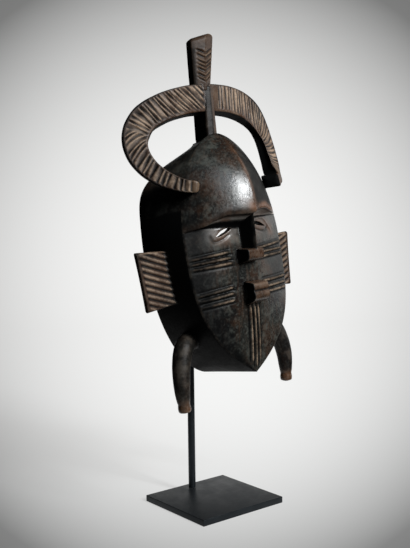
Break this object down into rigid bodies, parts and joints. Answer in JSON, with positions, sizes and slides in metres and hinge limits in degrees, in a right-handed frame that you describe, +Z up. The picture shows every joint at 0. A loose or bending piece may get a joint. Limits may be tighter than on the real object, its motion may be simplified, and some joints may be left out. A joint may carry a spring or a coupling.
{
  "type": "carved wooden mask on a display stand",
  "caption": "Carved wooden horned mask with an almond face, hollow behind, held upright by a steel rod on a flat plate.",
  "frame": {"origin": "centre of the plate's underside", "axes": "+Z up, the mask looks along -Y, +X to the right for someone who faces the mask"},
  "size_m": [0.1812, 0.1023, 0.4109],
  "materials": {
    "wood": "dark brown-black patina, polished by handling, worn to light brown on the raised edges",
    "blackened_steel": "black satin"
  },
  "bodies": {
    "root": {"mask": "wood", "stand_rod": "blackened_steel", "stand_base": "blackened_steel"}
  },
  "joints": []
}
